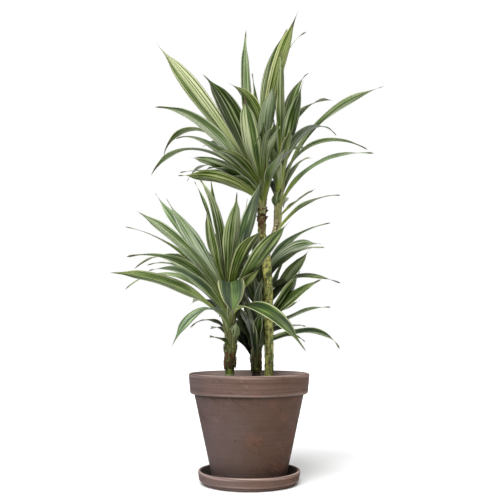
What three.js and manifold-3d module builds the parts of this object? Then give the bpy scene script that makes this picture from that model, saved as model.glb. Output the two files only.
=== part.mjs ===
// Potted corn plant, in millimetres: three canes with sword-leaved crowns in a clay pot on its saucer.
// +Z is up, +X is to the right and +Y to the back of the front view.
// The origin is the middle of the saucer's underside, on the surface that the plant stands on.

import * as THREE from 'three';
import * as BufferGeometryUtils from 'three/addons/utils/BufferGeometryUtils.js';
import Module from 'manifold-3d';

const wasm = await Module();
wasm.setup();

// ---- driving dimensions ----

const gap = 0.3; // left between pieces that touch
const potSides = 36;
const caneSides = 8;

const saucer = { rimRadius: 113, footRadius: 101, height: 29, wall: 7, floor: 8, lip: 3, bulge: 111, bulgeHeight: 15 };
const pot = {
  rimRadius: 135,
  height: 240, // of the rim above the surface that the saucer stands on
  band: 45, // height of the thicker band round the rim
  bandTaper: 4,
  shoulder: 9, // how far the band stands out from the wall below it
  bottomRadius: 81,
  wall: 9,
  floor: 12,
  lip: 3,
  drain: 10, // radius of the drainage hole
};
const soil = { top: 215, mound: 5, caneDepth: 60 };

// the lines that the canes and their shoots follow: x, y, z
const leftLine = [
  [-43, -20, 150],
  [-43, -20, 265],
  [-40, -20, 315],
  [-45, -20, 370],
  [-50, -20, 445],
];
const middleLine = [
  [16, 45, 150],
  [16, 45, 240],
  [16, 45, 290],
  [21, 45, 360],
  [26, 45, 445],
];
const rightLine = [
  [45, 10, 150],
  [45, 10, 330],
  [43, 10, 450],
  [37, 10, 520],
];
const rightLowShoot = [
  [38, 10, 510],
  [29, 10, 560],
  [29, 10, 600],
  [33, 10, 640],
  [28, 10, 705],
  [28, 10, 725],
];
const rightHighShoot = [
  [39, 10, 510],
  [58, 10, 550],
  [65, 10, 575],
  [66, 10, 610],
  [70, 10, 660],
  [75, 10, 715],
];

const cane = { leftRadius: 10.5, middleRadius: 9.5, rightRadius: 11, shootRadius: 9, ring: 1, ringPitch: 24 };
const caneTop = { left: 262, middle: 240, rightLow: 600, rightHigh: 545 };
// the bundle of leaf bases that a crown grows round, and how far out of its middle a leaf starts
const core = { tipRadius: 4, step: 45, rootOffset: 7 };
const bundle = { left: 13, middle: 12, right: 8.5 };

// blade: thickness along the midrib, how far the two halves fold up, and the wave of the edge
const blade = { thickness: 3, tipThickness: 1.6, baseFold: 35, fold: 13, tipFold: 8, ripple: 1.5, waves: 2 };
const bladeSteps = [0.14, 0.34, 0.54, 0.72, 0.88];
const bladeShape = { neck: 0.32, widest: 0.6, turned: 0.4 };

// ---- leaves that show from the front, crown by crown ----
// height on the shoot, heading, length, lift, droop, width, turn, sway, bend
// Angles are in degrees. Heading 0 points to +X and 90 to +Y. Lift is the rise at the root and droop
// what is lost of it by the tip, late along the leaf where bend is high. Turn twists the blade about
// its midrib, and sway carries its heading round.

const leftLeaves = [
  [400, 212, 295, 50, 25, 42, 15],
  [415, 149, 315, 51, -5, 42, -15, 9, 3],
  [420, 237, 280, 38, -6, 44, -5],
  [435, 114, 265, 34, 0, 34, 35],
  [390, 160, 330, 53, 42, 38, 0],
  [385, 215, 275, 48, 63, 42, 10, -6],
  [395, 147, 320, 53, 88, 38, -10],
  [370, 230, 265, 37, 55, 42, 5, 2, 2],
  [375, 137, 320, 45, 54, 36, -5],
  [355, 191, 285, 44, 44, 38, 40, 2, 1],
  [360, 166, 290, 54, 97, 38, -15],
  [335, 255, 290, 42, 99, 36, 0, -20, 1],
  [320, 158, 115, 71, 118, 22, -10, 3, 1],
  [315, 109, 165, 21, 32, 30, 5],
  [300, 257, 165, 13, 15, 30, -5],
  [355, 282, 345, 27, 76, 44, 15, 35, 1],
  [385, 320, 250, 56, 23, 50, -10],
  [400, 294, 240, 57, 50, 50, 20],
  [430, 281, 240, 51, -3, 48, 35, -4, 1],
  [430, 141, 285, 81, 41, 42, 10, -8, 3],
  [425, 240, 210, 42, -25, 40, -40, 27, 1],
  [430, 208, 250, 77, 23, 16, -5, 7, 3],
  [430, 114, 290, 65, -6, 36, 50, -4, 1],
  [425, 324, 265, 68, -5, 48, -5, 2, 1],
  [425, 51, 230, 66, -15, 36, -20, 2, 1],
  [400, 275, 205, 50, 150, 60, 0, 0, 1.2],
  [370, 335, 105, 71, 9, 38, 0, -1, 1],
  [375, 326, 132, 64, 28, 42, 0, 0, 1],
  [335, 75, 110, 76, 0, 46, 10],
  [298, 300, 60, 72, 5, 26, -20],
  [335, 288, 72, 78, 0, 26, 10],
];

const middleLeaves = [
  [330, 32, 245, 21, 24, 36, 0, 15, 3],
  [345, 64, 265, 17, 4, 36, -5],
  [335, 359, 185, 45, 21, 42, 35, 0, 3],
  [365, 36, 235, 49, 2, 44, 10, 1, 1],
  [405, 45, 240, 45, 67, 38, 20, -37, 1],
  [370, 71, 255, 32, -13, 36, -35],
  [300, 336, 210, 19, 87, 42, -20, 3, 3],
  [315, 58, 240, 15, 19, 34, 5],
  [310, 353, 110, 14, 61, 34, 15, -3, 3],
  [435, 52, 280, 64, 51, 40, 5, -34, 1],
  [430, 20, 200, 78, 82, 42, -35, -10, 1],
  [425, 46, 250, 58, 57, 38, 5, -12, 1],
  [365, 74, 275, 25, -10, 32, -50, 4],
  [260, 134, 125, 64, 45, 46, -5, 1, 1],
  [280, 108, 220, 25, -5, 40, 20],
  [300, 86, 280, 56, 30, 40, 50, 9],
  [345, 1, 160, 42, -25, 42, -35, 1, 1],
  [295, 100, 220, 42, -2, 40, 35],
  [285, 268, 175, 52, 16, 42, -60, 3, 1],
  [280, 256, 170, 47, 4, 40, -45, 6, 1],
  [290, 280, 165, 49, 28, 40, 45, -9, 1],
  [315, 247, 130, 38, 6, 38, -25, 1, 1],
  [345, 252, 135, 92, 34, 40, -40, -1, 1],
  [325, 272, 160, 66, 29, 40, 50, 7, 1],
  [290, 163, 118, 64, -4, 40, -20, 0, 1],
  [270, 140, 108, 67, 21, 40, -5, 0, 1],
  [355, 172, 120, 62, 10, 42, 30, 0, 1],
  [400, 140, 190, 66, 5, 46, 30, 0, 1],
  [375, 172, 130, 74, 5, 44, 60, 0, 1],
  [275, 40, 120, 70, 10, 46, 20, 0, 1],
];

const rightLowLeaves = [
  [680, 166, 440, 55, 2, 50, 60, 3, 1],
  [660, 228, 305, 57, 42, 54, 10, 7, 3],
  [660, 194, 315, 50, 58, 44, 20, -1, 3],
  [675, 150, 375, 48, 128, 34, 10, -7, 3],
  [665, 214, 270, 30, 60, 38, -5, 19, 3],
  [660, 161, 355, 44, 102, 36, 0, -14, 2],
  [655, 229, 250, 11, 13, 40, 0, 8, 3],
  [665, 134, 265, 35, 25, 36, -15],
  [625, 235, 260, 23, 34, 46, 20, -17, 1],
  [650, 142, 275, 31, 33, 36, -20],
  [655, 133, 310, 33, 84, 36, -20, 0, 3],
  [685, 151, 370, 72, -25, 42, -10, -3, 1],
  [710, 96, 350, 60, 6, 34, 55],
  [705, 322, 375, 83, 22, 42, -10],
  [700, 61, 430, 87, 40, 42, -10],
  [685, 281, 235, 74, 44, 42, 25],
  [715, 180, 230, 100, 77, 44, 25, 4],
  [665, 274, 270, 44, 70, 34, 55],
  [625, 280, 265, 30, 37, 40, 35],
  [645, 291, 255, 39, 67, 34, 30],
  [670, 252, 230, 34, -25, 50, -15, 8, 1],
  [680, 269, 170, 54, 36, 42, 50, 3, 1],
  [670, 284, 215, 45, 65, 40, 45, -7, 2],
  [640, 230, 220, 20, 56, 40, -5, 8, 3],
  [660, 235, 200, 31, 48, 42, -5, 2, 2],
  [635, 230, 160, 28, 45, 42, 0, 5],
  [715, 75, 130, 84, 5, 42, 0, 0, 1],
];

const rightHighLeaves = [
  [680, 56, 330, 79, 49, 44, -15, -3, 3],
  [660, 291, 255, 67, 19, 42, 20],
  [700, 275, 270, 71, 8, 38, 60, -15],
  [660, 264, 195, 100, 46, 42, -55, 5, 1],
  [700, 30, 378, 95, 65, 30, 0, -2, 3],
  [700, 54, 350, 83, 77, 34, -10, -4, 1],
  [655, 10, 366, 76, 60, 42, -15, -16, 1],
  [655, 316, 280, 98, 146, 42, 5, -17, 1],
  [640, 21, 300, 90, 120, 30, -10, -14, 1],
  [615, 303, 280, 50, 60, 30, 5, 35, 1],
  [595, 325, 110, 38, 16, 26, 20, 0, 1],
  [560, 307, 230, 37, 47, 28, 10, -4, 1],
  [635, 67, 300, 47, 40, 30, -20],
  [640, 252, 130, 75, 21, 44, -40, 1, 1],
  [660, 284, 150, 61, 16, 42, 40, -2, 1],
  [660, 110, 180, 85, 8, 42, 15, 0, 1],
  [670, 123, 165, 73, 15, 40, 15, 0, 1],
];

// ---- leaves behind those, which a rule spreads over the headings that the front view hides ----

const hiddenLeaf = { length: 265, width: 38, lowLift: 28, highLift: 66, droop: 50, turn: 40, stray: 6 };
const goldenShare = 0.618;

// each crown: the line of its shoot, where its cane ends, how thick its bundle of leaf bases is, its
// leaves, and where its hidden leaves grow
const crowns = {
  left: {
    line: leftLine,
    foot: caneTop.left,
    bundle: bundle.left,
    leaves: leftLeaves,
    hidden: { count: 6, low: 310, high: 420, firstHeading: 100, lastHeading: 130 },
  },
  middle: {
    line: middleLine,
    foot: caneTop.middle,
    bundle: bundle.middle,
    leaves: middleLeaves,
    hidden: { count: 8, low: 290, high: 425, firstHeading: 72, lastHeading: 135 },
  },
  rightLow: {
    line: rightLowShoot,
    foot: caneTop.rightLow,
    bundle: bundle.right,
    leaves: rightLowLeaves,
    hidden: { count: 6, low: 640, high: 710, firstHeading: 92, lastHeading: 135 },
  },
  rightHigh: {
    line: rightHighShoot,
    foot: caneTop.rightHigh,
    bundle: bundle.right,
    leaves: rightHighLeaves,
    hidden: { count: 6, low: 600, high: 690, firstHeading: 86, lastHeading: 98 },
  },
};

// ---- helpers ----

const { lerp, smoothstep, degToRad } = THREE.MathUtils;

function seededRandom(seed) {
  let state = seed;
  return () => {
    state = (state * 1664525 + 1013904223) % 4294967296;
    return state / 4294967296;
  };
}

// the point of a line of [x, y, z] points at a height
function pointAt(line, height) {
  const last = line.length - 2;
  let i = 0;
  while (i < last && line[i + 1][2] < height) i += 1;
  const [low, high] = [line[i], line[i + 1]];
  const share = (height - low[2]) / (high[2] - low[2]);
  return new THREE.Vector3(lerp(low[0], high[0], share), lerp(low[1], high[1], share), height);
}

// A closed solid through rings of points, flat at both ends. The quads of a ring's second half are
// split like those of its first half, so that the two faces of a blade never cross.
function loft(rings) {
  const sides = rings[0].length;
  const indices = [];
  for (let ring = 0; ring < rings.length - 1; ring += 1) {
    for (let side = 0; side < sides; side += 1) {
      const a = ring * sides + side;
      const b = ring * sides + ((side + 1) % sides);
      const [c, d] = [a + sides, b + sides];
      if (side < sides / 2) indices.push(a, b, c, b, d, c);
      else indices.push(a, b, d, a, d, c);
    }
  }
  const top = (rings.length - 1) * sides;
  for (let side = 1; side < sides - 1; side += 1) {
    indices.push(0, side + 1, side, top, top + side, top + side + 1);
  }
  const geometry = new THREE.BufferGeometry().setFromPoints(rings.flat());
  geometry.setIndex(indices);
  return geometry;
}

function solid(geometry) {
  const bare = geometry.clone();
  bare.deleteAttribute('normal');
  bare.deleteAttribute('uv');
  const merged = BufferGeometryUtils.mergeVertices(bare, 1e-4);
  const corners = merged.index.array;
  const triVerts = [];
  for (let i = 0; i < corners.length; i += 3) {
    const [a, b, c] = corners.slice(i, i + 3);
    if (a !== b && b !== c && c !== a) triVerts.push(a, b, c);
  }
  const vertProperties = Float32Array.from(merged.attributes.position.array);
  return new wasm.Manifold(new wasm.Mesh({ numProp: 3, vertProperties, triVerts: Uint32Array.from(triVerts) }));
}

// the geometry of a solid's largest body, without loose scraps and sealed hollows
function geometryOf(body) {
  const [main] = body.decompose().sort((a, b) => b.volume() - a.volume());
  const { vertProperties, triVerts } = main.getMesh();
  const geometry = new THREE.BufferGeometry();
  geometry.setAttribute('position', new THREE.BufferAttribute(Float32Array.from(vertProperties), 3));
  geometry.setIndex(new THREE.BufferAttribute(Uint32Array.from(triVerts), 1));
  geometry.computeVertexNormals();
  return geometry;
}

function joined(geometries) {
  return geometries.map(solid).reduce((whole, piece) => whole.add(piece));
}

function mesh(name, geometry, color, roughness) {
  const result = new THREE.Mesh(geometry, new THREE.MeshStandardMaterial({ color, roughness, metalness: 0 }));
  result.name = name;
  return result;
}

// a lathe turned about +Z from a closed profile of [radius, height] points
function turned(profile) {
  const points = [...profile, profile[0]].map(([radius, height]) => new THREE.Vector2(radius, height));
  return new THREE.LatheGeometry(points, potSides).rotateX(Math.PI / 2);
}

// ---- clay pot and saucer ----

function saucerGeometry() {
  const { rimRadius, footRadius, height, wall, floor, lip, bulge, bulgeHeight } = saucer;
  return turned([
    [0, 0],
    [footRadius, 0],
    [lerp(footRadius, bulge, 0.7), bulgeHeight * 0.4],
    [bulge, bulgeHeight],
    [rimRadius, height - lip],
    [rimRadius - lip / 2, height],
    [rimRadius - wall + lip / 2, height],
    [rimRadius - wall, height - lip],
    [footRadius - wall, floor + 2],
    [footRadius - wall - 3, floor],
    [0, floor],
  ]);
}

const potFoot = saucer.floor + gap;
const potFloorTop = potFoot + pot.floor;
const bandBottom = pot.height - pot.band;
const bandFoot = pot.rimRadius - pot.bandTaper;
const wallTop = bandFoot - pot.shoulder;
const innerTop = pot.rimRadius - pot.wall;
const innerBottom = pot.bottomRadius - pot.wall;

function potInnerRadius(height) {
  const share = (height - potFloorTop) / (pot.height - pot.lip - potFloorTop);
  return lerp(innerBottom, innerTop, share);
}

function potGeometry() {
  const { rimRadius, height, bottomRadius, lip, drain } = pot;
  return turned([
    [drain, potFoot],
    [bottomRadius - 2, potFoot],
    [bottomRadius, potFoot + 2],
    [wallTop, bandBottom + 2],
    [bandFoot - lip, bandBottom],
    [bandFoot, bandBottom + lip],
    [rimRadius, height - lip],
    [rimRadius - lip, height],
    [innerTop + lip, height],
    [innerTop, height - lip],
    [innerBottom, potFloorTop],
    [drain, potFloorTop],
  ]);
}

// ---- soil, with a plain hole for each cane ----

function soilGeometry() {
  const { top, mound, caneDepth } = soil;
  const bottom = potFloorTop + gap;
  const body = turned([
    [0, bottom],
    [potInnerRadius(bottom) - 1, bottom],
    [potInnerRadius(top) - 1, top],
    [potInnerRadius(top) * 0.6, top + mound * 0.7],
    [0, top + mound],
  ]);
  const holes = [
    [leftLine, cane.leftRadius],
    [middleLine, cane.middleRadius],
    [rightLine, cane.rightRadius],
  ].map(([line, radius]) => {
    const { x, y } = pointAt(line, top);
    const hole = new THREE.CylinderGeometry(radius + gap, radius + gap, 2 * caneDepth, 2 * caneSides);
    return solid(hole.rotateX(Math.PI / 2).translate(x, y, top));
  });
  return geometryOf(holes.reduce((rest, hole) => rest.subtract(hole), solid(body)));
}

// ---- canes, with the rings that fallen leaves left ----

function stemGeometry(line, low, high, radiusAt, step) {
  const count = Math.ceil((high - low) / step);
  const rings = [];
  for (let i = 0; i <= count; i += 1) {
    const height = lerp(low, high, i / count);
    const middle = pointAt(line, height);
    const radius = radiusAt(height, i);
    rings.push(
      Array.from({ length: caneSides }, (_, side) => {
        const angle = (2 * Math.PI * side) / caneSides;
        return middle.clone().add(new THREE.Vector3(Math.cos(angle), Math.sin(angle), 0).multiplyScalar(radius));
      }),
    );
  }
  return loft(rings);
}

function caneGeometry(line, low, high, radius) {
  const ringed = (height, i) => radius - (i % 2 ? 0 : cane.ring);
  return stemGeometry(line, low, high, ringed, cane.ringPitch / 2);
}

const caneFoot = soil.top - soil.caneDepth + gap;

function rightCane() {
  const fork = rightLine[rightLine.length - 1][2];
  return joined([
    caneGeometry(rightLine, caneFoot, fork, cane.rightRadius),
    caneGeometry(rightLowShoot, fork - 10, caneTop.rightLow, cane.shootRadius),
    caneGeometry(rightHighShoot, fork - 10, caneTop.rightHigh, cane.shootRadius),
  ]);
}

// ---- crowns of leaves ----

// half the width of a blade, as a share of its greatest, from a narrow neck to a drawn-out point
function widthShare(t) {
  const { neck, widest } = bladeShape;
  if (t > widest) return Math.cos(((Math.PI / 2) * (t - widest)) / (1 - widest));
  return lerp(neck, 1, smoothstep(t, 0.05, 0.55));
}

function foldAt(t) {
  const { baseFold, fold, tipFold } = blade;
  return degToRad(t < 0.5 ? lerp(baseFold, fold, t * 2) : lerp(fold, tipFold, t * 2 - 1));
}

function bladeGeometry(line, leaf, random) {
  const [height, heading, length, lift, droop, width, turn, sway = 0, bend = 1.5] = leaf;
  const wavePhase = 2 * Math.PI * random();
  const directionAt = (t) => {
    const rise = degToRad(lift - droop * t ** bend);
    const around = degToRad(heading + sway * t);
    return {
      along: new THREE.Vector3(Math.cos(rise) * Math.cos(around), Math.cos(rise) * Math.sin(around), Math.sin(rise)),
      across: new THREE.Vector3(-Math.sin(around), Math.cos(around), 0),
    };
  };
  const sectionAt = (middle, t) => {
    const { along, across } = directionAt(t);
    across.applyAxisAngle(along, degToRad(turn) * smoothstep(t, 0, bladeShape.turned));
    const up = new THREE.Vector3().crossVectors(along, across);
    const half = (width / 2) * widthShare(t);
    const thick = lerp(blade.thickness, blade.tipThickness, t) / 2;
    const wave = blade.ripple * smoothstep(t, 0.1, 0.4) * Math.sin(2 * Math.PI * blade.waves * t + wavePhase);
    const place = (side, above) => middle.clone().addScaledVector(across, side).addScaledVector(up, above);
    const reach = half * Math.cos(foldAt(t));
    const raised = half * Math.sin(foldAt(t));
    return [place(-reach, raised + wave), place(0, -thick), place(reach, raised - wave), place(0, thick)];
  };
  const outwards = new THREE.Vector3(1, 0, 0).applyAxisAngle(new THREE.Vector3(0, 0, 1), degToRad(heading));
  const middle = pointAt(line, height).addScaledVector(outwards, core.rootOffset);
  const rings = [sectionAt(middle, 0)];
  const fine = 100;
  for (let i = 0; i < fine; i += 1) {
    middle.addScaledVector(directionAt((i + 0.5) / fine).along, length / fine);
    const t = (i + 1) / fine;
    if (bladeSteps.some((step) => Math.abs(step - t) < 0.5 / fine)) rings.push(sectionAt(middle, t));
  }
  rings.push(rings[0].map(() => middle.clone()));
  return loft(rings);
}

function hiddenLeaves({ count, low, high, firstHeading, lastHeading }, random) {
  const { length, width, lowLift, highLift, droop, turn, stray } = hiddenLeaf;
  return Array.from({ length: count }, (_, i) => {
    const share = (i + 0.5) / count;
    const heading = lerp(firstHeading, lastHeading, (i * goldenShare) % 1) + stray * (random() - 0.5);
    return [
      lerp(low, high, share),
      heading,
      length * (0.9 + 0.2 * random()),
      lerp(lowLift, highLift, share),
      droop * (0.7 + 0.6 * random()),
      width,
      turn * (random() - 0.5),
    ];
  });
}

function crownPieces({ line, foot, bundle: radius, leaves, hidden }, seed) {
  const random = seededRandom(seed);
  const top = line[line.length - 1][2];
  const taper = (height) => lerp(radius, core.tipRadius, smoothstep(height, top - 2 * core.step, top));
  const all = [...leaves, ...hiddenLeaves(hidden, random)];
  return [
    stemGeometry(line, foot + gap, top, taper, core.step),
    ...all.map((leaf) => bladeGeometry(line, leaf, random)),
  ];
}

function crown(name, parts, seed) {
  return mesh(name, geometryOf(joined(crownPieces(parts, seed))), 0x5f7348, 0.5);
}

// ---- the plant ----

const clay = 0x8a6b62;
const plant = new THREE.Group();
plant.name = 'potted_corn_plant';
plant.add(
  mesh('saucer', geometryOf(solid(saucerGeometry())), clay, 0.85),
  mesh('pot', geometryOf(solid(potGeometry())), clay, 0.85),
  mesh('soil', soilGeometry(), 0x3a2c22, 1),
  mesh('cane_left', caneGeometry(leftLine, caneFoot, caneTop.left, cane.leftRadius), 0x7a7a4a, 0.7),
  mesh('cane_middle', caneGeometry(middleLine, caneFoot, caneTop.middle, cane.middleRadius), 0x4a3a2c, 0.8),
  mesh('cane_right', geometryOf(rightCane()), 0x86803f, 0.7),
  crown('foliage_left', crowns.left, 1),
  crown('foliage_middle', crowns.middle, 2),
  crown('foliage_right_low', crowns.rightLow, 3),
  crown('foliage_right_high', crowns.rightHigh, 4),
);

export default plant;
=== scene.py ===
import math

import bmesh
import bpy
import numpy as np
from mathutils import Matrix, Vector, noise


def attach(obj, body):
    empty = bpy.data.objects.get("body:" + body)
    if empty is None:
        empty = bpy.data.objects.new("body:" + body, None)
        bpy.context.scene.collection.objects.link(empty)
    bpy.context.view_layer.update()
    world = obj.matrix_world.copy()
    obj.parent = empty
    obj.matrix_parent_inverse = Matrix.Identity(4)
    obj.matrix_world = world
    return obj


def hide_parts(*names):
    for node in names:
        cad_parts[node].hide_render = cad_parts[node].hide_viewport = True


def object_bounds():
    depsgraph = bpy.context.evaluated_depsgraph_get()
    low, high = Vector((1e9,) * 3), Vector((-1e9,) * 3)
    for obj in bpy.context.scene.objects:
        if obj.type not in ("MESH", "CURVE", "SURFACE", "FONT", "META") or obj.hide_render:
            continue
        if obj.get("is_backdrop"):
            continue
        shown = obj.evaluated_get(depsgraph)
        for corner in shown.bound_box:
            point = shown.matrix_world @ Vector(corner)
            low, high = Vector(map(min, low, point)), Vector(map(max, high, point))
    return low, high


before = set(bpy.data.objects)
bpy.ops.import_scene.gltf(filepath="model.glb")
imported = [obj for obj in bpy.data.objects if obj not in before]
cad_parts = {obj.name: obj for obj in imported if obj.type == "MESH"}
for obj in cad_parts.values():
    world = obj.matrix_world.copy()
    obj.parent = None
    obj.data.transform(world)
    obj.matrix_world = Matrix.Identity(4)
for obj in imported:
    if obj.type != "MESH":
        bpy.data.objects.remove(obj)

cad_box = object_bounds()
MM = 0.001

# ---- dimensions of the plant, in millimetres, as in its solids ----

GAP = 0.3
SAUCER = {
    "rim": 113, "foot": 101, "height": 29, "wall": 7, "floor": 8, "lip": 3, "bulge": 111, "bulge_height": 15,
}
POT = {
    "rim": 135, "height": 240, "band": 45, "taper": 4, "shoulder": 9, "bottom": 81,
    "wall": 9, "floor": 12, "lip": 3, "drain": 10,
}
SOIL_TOP, SOIL_MOUND, CANE_DEPTH = 215, 5, 60

POT_FOOT = SAUCER["floor"] + GAP
POT_FLOOR = POT_FOOT + POT["floor"]
BAND_BOTTOM = POT["height"] - POT["band"]
CANE_FOOT = SOIL_TOP - CANE_DEPTH + GAP
# radii of the pot: outside at the foot of its band and just below it, inside at the rim and at the floor
BAND_FOOT = POT["rim"] - POT["taper"]
WALL_TOP = BAND_FOOT - POT["shoulder"]
INNER_TOP = POT["rim"] - POT["wall"]
INNER_BOTTOM = POT["bottom"] - POT["wall"]

# the lines that the canes and their shoots follow
LEFT_LINE = [(-43, -20, 150), (-43, -20, 265), (-40, -20, 315), (-45, -20, 370), (-50, -20, 445)]
MIDDLE_LINE = [(16, 45, 150), (16, 45, 240), (16, 45, 290), (21, 45, 360), (26, 45, 445)]
RIGHT_LINE = [(45, 10, 150), (45, 10, 330), (43, 10, 450), (37, 10, 520)]
RIGHT_LOW_LINE = [(38, 10, 510), (29, 10, 560), (29, 10, 600), (33, 10, 640), (28, 10, 705), (28, 10, 725)]
RIGHT_HIGH_LINE = [(39, 10, 510), (58, 10, 550), (65, 10, 575), (66, 10, 610), (70, 10, 660), (75, 10, 715)]

CANE_RADIUS = {"left": 10.3, "middle": 9.2, "right": 10.4, "right_low": 8.6, "right_high": 8.4}
# how much wider the right cane is at the soil, and how far above the soil that ends
CANE_FLARE, FLARE_HEIGHT = 0.9, 45
# where the right cane's two shoots begin, where the cane itself ends, and where the shoots' rings begin
FORK_BOTTOM, FORK_TOP, FORK_RINGS = 510, 522, 520
CANE_RINGS = {
    "left": [228, 258],
    "middle": [222, 231, 238],
    "right": [259, 281, 306, 336, 363, 404, 438, 458, 477, 492, 508],
}
PALE_RINGS = {"left": [262, 236], "right": [365]}

# the bundle of leaf bases that each crown grows round: its tip, its taper, and how far out the leaves start
CORE_TIP, CORE_STEP, ROOT_OFFSET = 4, 45, 7

# ---- leaves: height on the shoot, heading, length, lift, droop, width, turn, sway, bend ----

LEFT_LEAVES = [
    (400, 212, 295, 50, 25, 42, 15),
    (415, 149, 315, 51, -5, 42, -15, 9, 3),
    (420, 237, 280, 38, -6, 44, -5),
    (435, 114, 265, 34, 0, 34, 35),
    (390, 160, 330, 53, 42, 38, 0),
    (385, 215, 275, 48, 63, 42, 10, -6),
    (395, 147, 320, 53, 88, 38, -10),
    (370, 230, 265, 37, 55, 42, 5, 2, 2),
    (375, 137, 320, 45, 54, 36, -5),
    (355, 191, 285, 44, 44, 38, 40, 2, 1),
    (360, 166, 290, 54, 97, 38, -15),
    (335, 255, 290, 42, 99, 36, 0, -20, 1),
    (320, 158, 115, 71, 118, 22, -10, 3, 1),
    (315, 109, 165, 21, 32, 30, 5),
    (300, 257, 165, 13, 15, 30, -5),
    (355, 282, 345, 27, 76, 44, 15, 35, 1),
    (385, 320, 250, 56, 23, 50, -10),
    (400, 294, 240, 57, 50, 50, 20),
    (430, 281, 240, 51, -3, 48, 35, -4, 1),
    (430, 141, 285, 81, 41, 42, 10, -8, 3),
    (425, 240, 210, 42, -25, 40, -40, 27, 1),
    (430, 208, 250, 77, 23, 16, -5, 7, 3),
    (430, 114, 290, 65, -6, 36, 50, -4, 1),
    (425, 324, 265, 68, -5, 48, -5, 2, 1),
    (425, 51, 230, 66, -15, 36, -20, 2, 1),
    (400, 275, 205, 50, 150, 60, 0, 0, 1.2),
    (370, 335, 105, 71, 9, 38, 0, -1, 1),
    (375, 326, 132, 64, 28, 42, 0, 0, 1),
    (335, 75, 110, 76, 0, 46, 10),
    (298, 300, 60, 72, 5, 26, -20),
    (335, 288, 72, 78, 0, 26, 10),
]

MIDDLE_LEAVES = [
    (330, 32, 245, 21, 24, 36, 0, 15, 3),
    (345, 64, 265, 17, 4, 36, -5),
    (335, 359, 185, 45, 21, 42, 35, 0, 3),
    (365, 36, 235, 49, 2, 44, 10, 1, 1),
    (405, 45, 240, 45, 67, 38, 20, -37, 1),
    (370, 71, 255, 32, -13, 36, -35),
    (300, 336, 210, 19, 87, 42, -20, 3, 3),
    (315, 58, 240, 15, 19, 34, 5),
    (310, 353, 110, 14, 61, 34, 15, -3, 3),
    (435, 52, 280, 64, 51, 40, 5, -34, 1),
    (430, 20, 200, 78, 82, 42, -35, -10, 1),
    (425, 46, 250, 58, 57, 38, 5, -12, 1),
    (365, 74, 275, 25, -10, 32, -50, 4),
    (260, 134, 125, 64, 45, 46, -5, 1, 1),
    (280, 108, 220, 25, -5, 40, 20),
    (300, 86, 280, 56, 30, 40, 50, 9),
    (345, 1, 160, 42, -25, 42, -35, 1, 1),
    (295, 100, 220, 42, -2, 40, 35),
    (285, 268, 175, 52, 16, 42, -60, 3, 1),
    (280, 256, 170, 47, 4, 40, -45, 6, 1),
    (290, 280, 165, 49, 28, 40, 45, -9, 1),
    (315, 247, 130, 38, 6, 38, -25, 1, 1),
    (345, 252, 135, 92, 34, 40, -40, -1, 1),
    (325, 272, 160, 66, 29, 40, 50, 7, 1),
    (290, 163, 118, 64, -4, 40, -20, 0, 1),
    (270, 140, 108, 67, 21, 40, -5, 0, 1),
    (355, 172, 120, 62, 10, 42, 30, 0, 1),
    (400, 140, 190, 66, 5, 46, 30, 0, 1),
    (375, 172, 130, 74, 5, 44, 60, 0, 1),
    (275, 40, 120, 70, 10, 46, 20, 0, 1),
]

RIGHT_LOW_LEAVES = [
    (680, 166, 440, 55, 2, 50, 60, 3, 1),
    (660, 228, 305, 57, 42, 54, 10, 7, 3),
    (660, 194, 315, 50, 58, 44, 20, -1, 3),
    (675, 150, 375, 48, 128, 34, 10, -7, 3),
    (665, 214, 270, 30, 60, 38, -5, 19, 3),
    (660, 161, 355, 44, 102, 36, 0, -14, 2),
    (655, 229, 250, 11, 13, 40, 0, 8, 3),
    (665, 134, 265, 35, 25, 36, -15),
    (625, 235, 260, 23, 34, 46, 20, -17, 1),
    (650, 142, 275, 31, 33, 36, -20),
    (655, 133, 310, 33, 84, 36, -20, 0, 3),
    (685, 151, 370, 72, -25, 42, -10, -3, 1),
    (710, 96, 350, 60, 6, 34, 55),
    (705, 322, 375, 83, 22, 42, -10),
    (700, 61, 430, 87, 40, 42, -10),
    (685, 281, 235, 74, 44, 42, 25),
    (715, 180, 230, 100, 77, 44, 25, 4),
    (665, 274, 270, 44, 70, 34, 55),
    (625, 280, 265, 30, 37, 40, 35),
    (645, 291, 255, 39, 67, 34, 30),
    (670, 252, 230, 34, -25, 50, -15, 8, 1),
    (680, 269, 170, 54, 36, 42, 50, 3, 1),
    (670, 284, 215, 45, 65, 40, 45, -7, 2),
    (640, 230, 220, 20, 56, 40, -5, 8, 3),
    (660, 235, 200, 31, 48, 42, -5, 2, 2),
    (635, 230, 160, 28, 45, 42, 0, 5),
    (715, 75, 130, 84, 5, 42, 0, 0, 1),
]

RIGHT_HIGH_LEAVES = [
    (680, 56, 330, 79, 49, 44, -15, -3, 3),
    (660, 291, 255, 67, 19, 42, 20),
    (700, 275, 270, 71, 8, 38, 60, -15),
    (660, 264, 195, 100, 46, 42, -55, 5, 1),
    (700, 30, 378, 95, 65, 30, 0, -2, 3),
    (700, 54, 350, 83, 77, 34, -10, -4, 1),
    (655, 10, 366, 76, 60, 42, -15, -16, 1),
    (655, 316, 280, 98, 146, 42, 5, -17, 1),
    (640, 21, 300, 90, 120, 30, -10, -14, 1),
    (615, 303, 280, 50, 60, 30, 5, 35, 1),
    (595, 325, 110, 38, 16, 26, 20, 0, 1),
    (560, 307, 230, 37, 47, 28, 10, -4, 1),
    (635, 67, 300, 47, 40, 30, -20),
    (640, 252, 130, 75, 21, 44, -40, 1, 1),
    (660, 284, 150, 61, 16, 42, 40, -2, 1),
    (660, 110, 180, 85, 8, 42, 15, 0, 1),
    (670, 123, 165, 73, 15, 40, 15, 0, 1),
]

# ---- crowns ----

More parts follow.
